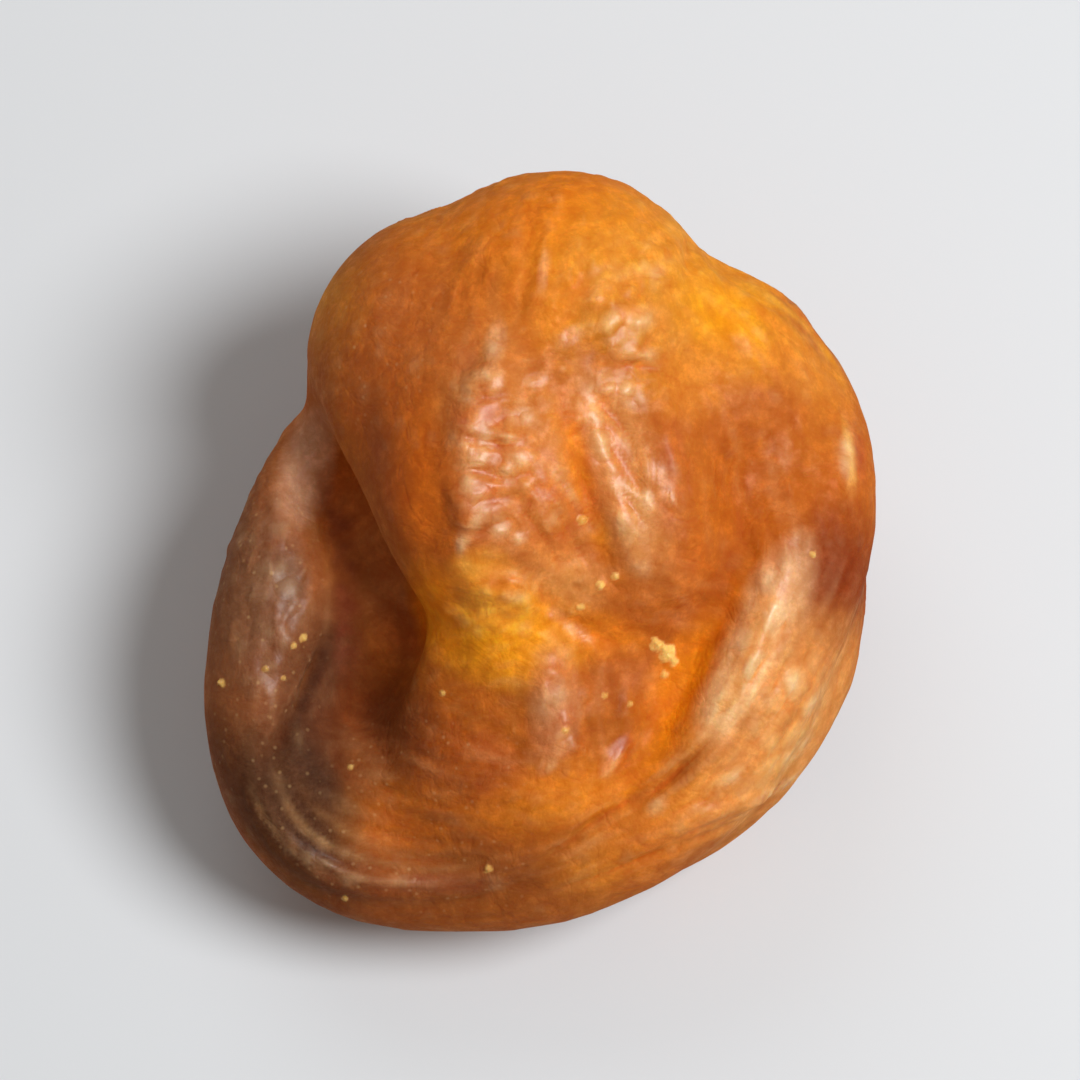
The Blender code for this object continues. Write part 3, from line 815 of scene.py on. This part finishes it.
def patchColour(co, normal):
    # the colour of one spot: clouds on the back, patches and streaks on the face
    begin, soft = skinColours["faceEdge"]
    showing = min(1, max(0, (normal.z + begin) / soft))
    broad, fine = skinColours["cloudSizes"]
    cloud = noise.noise(co / broad) + 0.5 * noise.noise(co / fine)
    toward = skinColours["amber"] if cloud > 0 else skinColours["brown"]
    cloudy = min(1, abs(cloud) * skinColours["cloudStrength"]) * (1 - 0.9 * showing)
    colour = Vector(skinColours["base"]).lerp(Vector(toward), cloudy)
    colour = colour.lerp(Vector(skinColours["under"]), 0.7 * min(1, max(0, -normal.z - 0.3) / 0.5))
    if showing <= 0:
        return colour
    for centre, half, turn, tint, strength in colourPatches.values():
        fade = inPatch(co, centre, half, turn)[0]
        if fade > 0:
            colour = colour.lerp(Vector(tint), showing * strength * fade ** 0.6)
    for centre, half, turn, sizes, strength in streakPatches:
        fade, along, across = inPatch(co, centre, half, turn)
        if fade > 0:
            bend = noise.noise(Vector((along / 4, across / 3, 5)))
            wave = noise.noise(Vector((along / sizes[0], across / sizes[1] + bend, co.z / 2)))
            streak = showing * strength * fade ** 0.5 * wave
            if wave > 0:
                # a light streak: partly painted sheen
                colour = colour.lerp(Vector(skinColours["paleAndPaintedSheen"]), streak)
            else:
                dark = 1 + 2 * streak       # a dark streak loses blue first, then green
                colour = Vector((colour.x * dark, colour.y * dark ** 1.3, colour.z * dark ** 2))
    return colour


def spotColour(colour, co, normal):
    # puffed spots get a painted highlight, and crumbs have their own colour
    for spot in paintedGlintSpots:
        if nearSpot(co, spot):
            share, strength = inSpot(co, spot, "highlightPaint")
            # painted highlight, strongest where the spot faces up
            pale = strength * share * min(1, normal.z * 2)
            colour = colour.lerp(Vector(skinColours["paleAndPaintedSheen"]), pale)
    for x, y, size in pulpCrumbs:
        away = math.hypot(co.x - x, co.y - y) / size
        away += crumbShape["raggedness"] * noise.noise(co * 4)
        if away < 1:
            solid = min(1, (1 - away) * 3) * min(1, size * 2.2)
            colour = colour.lerp(Vector(skinColours["pulp"]), solid)
    return colour


def paintSkin(bench, depths, broadDepths):
    # every vertex gets its colour, its gloss and how deep in a fold it is
    mesh = bench.skin.data
    spots = list(zip(bench.place, bench.facing))
    keepOnSkin(mesh, "foldDepth", depths)
    keepOnSkin(mesh, "broadDepth", broadDepths)
    waxy = [waxiness(*spot, hollow) for spot, hollow in zip(spots, broadDepths)]
    keepOnSkin(mesh, "waxiness", waxy)
    keepOnSkin(mesh, "bloom", [dustiness(co) for co in bench.place])
    painted = [patchColour(co, normal) for co, normal in spots]
    for points, reach, tint, strength in colourLines.values():
        for index, (share, along, side, part) in bench.near(points, reach).items():
            broken = min(1, 0.75 + 0.9 * noise.noise(bench.place[index] * 1.1))
            facing = min(1, max(0, bench.facing[index].z * 3))
            fade = strength * broken * bell(share) ** 0.6 * ends(part, 0.2) * facing
            painted[index] = painted[index].lerp(Vector(tint), max(0, fade))
    for turn, rise, size, tint in backMarks:
        middle = bench.fromAround(turn, rise)[0]
        for co, index, away in bench.tree.find_range(middle, size):
            ragged = away / size + 0.25 * noise.noise(co * 0.8)
            painted[index] = painted[index].lerp(Vector(tint), 0.85 * bell(max(0, ragged)))
    colours = mesh.color_attributes.new("skinColour", "FLOAT_COLOR", "POINT")
    for index, (co, normal) in enumerate(spots):
        colour = spotColour(painted[index], co, normal) if normal.z > 0.1 else painted[index]
        colours.data[index].color = (*colour, 1)
    print("skin painted")


def foldDepths(bench, passes):
    # how far each vertex lies under a softened copy of the skin, in mm
    bench.bm.to_mesh(bench.skin.data)
    softCopy = bpy.data.objects.new("softCopy", bench.skin.data.copy())
    bpy.context.scene.collection.objects.link(softCopy)
    soften = softCopy.modifiers.new("soften", "SMOOTH")
    soften.factor = 0.5
    soften.iterations = passes
    applyModifiers(softCopy)
    soft = softCopy.data
    pairs = zip(soft.vertices, bench.place, bench.facing)
    depths = [(vert.co - co).dot(facing) for vert, co, facing in pairs]
    bpy.data.objects.remove(softCopy)
    bpy.data.meshes.remove(soft)
    return depths


# scales are in turns of the pattern per metre, and bumps are: strength and height in metres
skinFinish = {
    "glow": 0.35,               # the light that soaks into the flesh
    "glowReach": 0.0022,
    "glowColour": (1.0, 0.32, 0.1),
    "specular": 0.14,
    "coatRoughness": 0.36,
    "roughness": (0.92, 0.32),  # of dry and of waxy skin
    "coat": 0.85,               # of waxy skin
    "mottleScale": 1100,
    "cloudScale": 140,
    "grainScale": 3000,
    "unevenScale": 800,
    "lineScale": 460,
    "puffScale": 680,
    "puffBend": (700, 0.0011),  # how the rows of puffs wander: scale, and reach in metres
    "fleckScale": 1500,
    "grainBump": (0.45, 0.00016),
    "unevenBump": (0.16, 0.0004),
    "lineBump": (0.2, 0.00016),
    "puffBump": (0.35, 0.0004),
    "coatBump": (0.3, 0.0003),
}

skinTints = {
    "mottleDark": (0.82, 0.60, 0.40),
    "mottlePale": (1.35, 1.45, 1.55),
    "cloud": (1.3, 2.0, 2.6),
    # painted sheen on the puffs, and painted shade between them
    "puff": (0.24, 0.17, 0.09),
    "shadeBetweenPuffs": (0.95, 0.72, 0.45),
    "thinLine": (0.90, 0.74, 0.55),
    # painted shade in the folds, and painted highlight on the crests
    "thinFoldShade": (1.0, 0.72, 0.3),
    "broadFoldShade": (0.95, 0.66, 0.4),
    "deepFoldShade": (0.36, 0.17, 0.08),
    "crest": (0.32, 0.21, 0.11),
    "dust": (0.40, 0.18, 0.085),
    "fleck": (0.80, 0.50, 0.22),
}


def skinMaterial():
    material = bpy.data.materials.new("driedSkin")
    material.use_nodes = True
    nodes, links = material.node_tree.nodes, material.node_tree.links
    shader = nodes["Principled BSDF"]
    shader.inputs["Subsurface Weight"].default_value = skinFinish["glow"]
    shader.inputs["Subsurface Radius"].default_value = skinFinish["glowColour"]
    shader.inputs["Subsurface Scale"].default_value = skinFinish["glowReach"]
    shader.inputs["Specular IOR Level"].default_value = skinFinish["specular"]
    shader.inputs["Coat Roughness"].default_value = skinFinish["coatRoughness"]
    place = nodes.new("ShaderNodeTexCoord").outputs["Object"]

    def kept(name, output="Fac"):
        # what paintSkin left on the mesh
        node = nodes.new("ShaderNodeAttribute")
        node.attribute_name = name
        return node.outputs[output]

    def noiseNode(scale, detail, rough=0.55, distortion=0.0, output="Fac"):
        node = nodes.new("ShaderNodeTexNoise")
        node.inputs["Scale"].default_value = scale
        node.inputs["Detail"].default_value = detail
        node.inputs["Roughness"].default_value = rough
        node.inputs["Distortion"].default_value = distortion
        links.new(place, node.inputs["Vector"])
        return node.outputs[output]

    def cells(scale, vector):
        # how far each point is from the middle of its cell
        node = nodes.new("ShaderNodeTexVoronoi")
        node.inputs["Scale"].default_value = scale
        links.new(vector, node.inputs["Vector"])
        return node.outputs["Distance"]

    def span(source, low, high, toLow, toHigh):
        node = nodes.new("ShaderNodeMapRange")
        node.inputs["From Min"].default_value = low
        node.inputs["From Max"].default_value = high
        node.inputs["To Min"].default_value = toLow
        node.inputs["To Max"].default_value = toHigh
        links.new(source, node.inputs["Value"])
        return node.outputs["Result"]

    def mathNode(operation, *sources):
        node = nodes.new("ShaderNodeMath")
        node.operation = operation
        for source, socket in zip(sources, node.inputs):
            links.new(source, socket)
        return node.outputs[0]

    def tint(shade, name, share, blend="MIX"):
        node = nodes.new("ShaderNodeMix")
        node.data_type = "RGBA"
        node.blend_type = blend
        links.new(share, node.inputs[0])
        links.new(shade, node.inputs[6])
        node.inputs[7].default_value = (*skinTints[name], 1)
        return node.outputs[2]

    def bump(finish, relief, normal=None):
        node = nodes.new("ShaderNodeBump")
        strength, height = skinFinish[finish]
        node.inputs["Strength"].default_value = strength
        node.inputs["Distance"].default_value = height
        links.new(relief, node.inputs["Height"])
        if normal:
            links.new(normal, node.inputs["Normal"])
        return node.outputs["Normal"]

    mottle = noiseNode(skinFinish["mottleScale"], 5, 0.7)
    cloud = noiseNode(skinFinish["cloudScale"], 3, 0.5)
    grain = noiseNode(skinFinish["grainScale"], 6, 0.75)
    depth, broad = kept("foldDepth"), kept("broadDepth")
    wax, bloom = kept("waxiness"), kept("bloom")

    # small puffs between crinkles, only where the skin is waxy
    bendScale, bendReach = skinFinish["puffBend"]
    bent = nodes.new("ShaderNodeVectorMath")
    bent.operation = "MULTIPLY_ADD"
    bent.inputs[1].default_value = (bendReach, bendReach, bendReach)
    links.new(noiseNode(bendScale, 2, output="Color"), bent.inputs[0])
    links.new(place, bent.inputs[2])
    puff = span(cells(skinFinish["puffScale"], bent.outputs[0]), 0.15, 0.65, 0.5, -0.5)
    crinkle = mathNode("MULTIPLY", puff, span(wax, 0, 1, 0, 1))

    # nought along thin wandering lines, and 1 between them
    lineNoise = noiseNode(skinFinish["lineScale"], 3, 0.55, 0.5)
    fromLine = mathNode("ABSOLUTE", span(lineNoise, 0.4, 0.6, -1, 1))
    lineHeight = span(fromLine, 0, 0.85, 0, 1)

    # mottled and clouded, with painted sheen on the puffs and painted shade between them
    shade = kept("skinColour", "Color")
    shade = tint(shade, "mottleDark", span(mottle, 0.5, 0.75, 0, 0.7), "MULTIPLY")
    shade = tint(shade, "mottlePale", span(mottle, 0.5, 0.28, 0, 0.9), "MULTIPLY")
    shade = tint(shade, "cloud", span(cloud, 0.55, 0.8, 0, 0.4), "MULTIPLY")
    shade = tint(shade, "puff", span(crinkle, 0.02, 0.45, 0, 0.8), "SCREEN")
    shade = tint(shade, "shadeBetweenPuffs", span(crinkle, -0.05, -0.45, 0, 1), "MULTIPLY")
    shade = tint(shade, "thinLine", span(lineHeight, 0.6, 0, 0, 0.32), "MULTIPLY")
    # painted shade: folds are redder and darker; painted highlight: crests are paler
    shade = tint(shade, "thinFoldShade", span(depth, 0.02, 0.14, 0, 1), "MULTIPLY")
    shade = tint(shade, "broadFoldShade", span(broad, 0.06, 0.6, 0, 0.8), "MULTIPLY")
    shade = tint(shade, "deepFoldShade", span(depth, 0.14, 0.7, 0, 0.9), "MULTIPLY")
    shade = tint(shade, "crest", span(depth, -0.03, -0.22, 0, 0.8), "SCREEN")
    # dust and pale flecks, where the bloom is
    dust = span(grain, 0.35, 0.75, 0, 0.22)
    shade = tint(shade, "dust", mathNode("MULTIPLY", bloom, dust))
    fleck = span(cells(skinFinish["fleckScale"], place), 0.2, 0.05, 0, 0.28)
    shade = tint(shade, "fleck", mathNode("MULTIPLY", bloom, fleck))
    links.new(shade, shader.inputs["Base Color"])

    shine = mathNode("ADD", span(mottle, 0.3, 0.7, 0.15, -0.15), wax)
    links.new(span(shine, -0.6, 1, *skinFinish["roughness"]), shader.inputs["Roughness"])
    links.new(span(shine, 0.15, 1, 0, skinFinish["coat"]), shader.inputs["Coat Weight"])

    surface = bump("grainBump", grain)
    surface = bump("unevenBump", noiseNode(skinFinish["unevenScale"], 3, 0.55, 0.3), surface)
    surface = bump("lineBump", lineHeight, surface)
    surface = bump("puffBump", crinkle, surface)
    links.new(surface, shader.inputs["Normal"])
    links.new(bump("coatBump", crinkle), shader.inputs["Coat Normal"])
    return material


def makeApricot():
    toBench = onFloorToBench()
    skin = plainSkin(toBench)
    print("plain skin:", len(skin.data.vertices), "vertices")
    bench = Bench(skin)
    workFace(bench)
    bench.refresh()
    workBack(bench)
    bench = refine(bench)
    workDetail(bench)
    bench.refresh()
    raiseCrumbs(bench)
    bench.refresh()
    depths = foldDepths(bench, skinMesh["thinFoldPasses"])
    broadDepths = foldDepths(bench, skinMesh["broadFoldPasses"])
    backToFloor(bench, toBench)
    paintSkin(bench, depths, broadDepths)
    skin.data.materials.append(skinMaterial())
    print("finished skin:", len(skin.data.vertices), "vertices")
    return skin


studio = {
    "floorRadius": 1.5,
    "floorColour": (0.72, 0.74, 0.765, 1),
    "floorRoughness": 0.8,
    "skyColour": (0.86, 0.82, 0.76, 1),
    "skyStrength": 0.22,
    "key": ((0.23, -0.03, 0.37), 0.21, 1.75),       # place, size and power
    "fill": ((-0.10, 0.30, 0.28), 0.3, 0.3),
    "lens": 180,
    "sensor": 36,
    "elevation": 75,         # how steeply the camera looks down, in degrees
    "frameHeight": 0.056,    # what the camera sees at the fruit, in metres
    "frameShift": 0.0005,
}


def areaLight(name, place, size, power, target):
    lamp = bpy.data.lights.new(name, "AREA")
    lamp.shape = "DISK"
    lamp.size = size
    lamp.energy = power
    light = bpy.data.objects.new(name, lamp)
    light.location = place
    light.rotation_euler = (target - Vector(place)).to_track_quat("-Z", "Y").to_euler()
    bpy.context.scene.collection.objects.link(light)


def setStudio():
    scene = bpy.context.scene
    bm = bmesh.new()
    bmesh.ops.create_circle(bm, cap_ends=True, segments=64, radius=studio["floorRadius"])
    floorMesh = bpy.data.meshes.new("floor")
    bm.to_mesh(floorMesh)
    bm.free()
    floor = bpy.data.objects.new("floor", floorMesh)
    scene.collection.objects.link(floor)
    paper = bpy.data.materials.new("palePaper")
    paper.use_nodes = True
    shader = paper.node_tree.nodes["Principled BSDF"]
    shader.inputs["Base Color"].default_value = studio["floorColour"]
    shader.inputs["Roughness"].default_value = studio["floorRoughness"]
    floor.data.materials.append(paper)
    floor.visible_glossy = False    # no white sheen from the paper along the fruit's edges

    world = bpy.data.worlds.new("softRoom")
    world.use_nodes = True
    sky = world.node_tree.nodes["Background"]
    sky.inputs["Color"].default_value = studio["skyColour"]
    sky.inputs["Strength"].default_value = studio["skyStrength"]
    scene.world = world
    scene.view_settings.view_transform = "Standard"

    low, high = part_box("apricot")
    middle = (low + high) / 2
    areaLight("key", *studio["key"], middle)
    areaLight("fill", *studio["fill"], middle)

    lens = bpy.data.cameras.new("camera")
    lens.lens = studio["lens"]
    lens.sensor_width = studio["sensor"]
    lens.clip_start = 0.01
    camera = bpy.data.objects.new("camera", lens)
    distance = studio["frameHeight"] * lens.lens / lens.sensor_width
    rise = math.radians(studio["elevation"])
    target = middle + Vector((0, studio["frameShift"], 0))
    camera.location = target + distance * Vector((0, -math.cos(rise), math.sin(rise)))
    camera.rotation_euler = (math.pi / 2 - rise, 0, 0)
    scene.collection.objects.link(camera)
    scene.camera = camera
    print("studio set")


apricot = makeApricot()
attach(apricot, "root")
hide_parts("apricot")
setStudio()
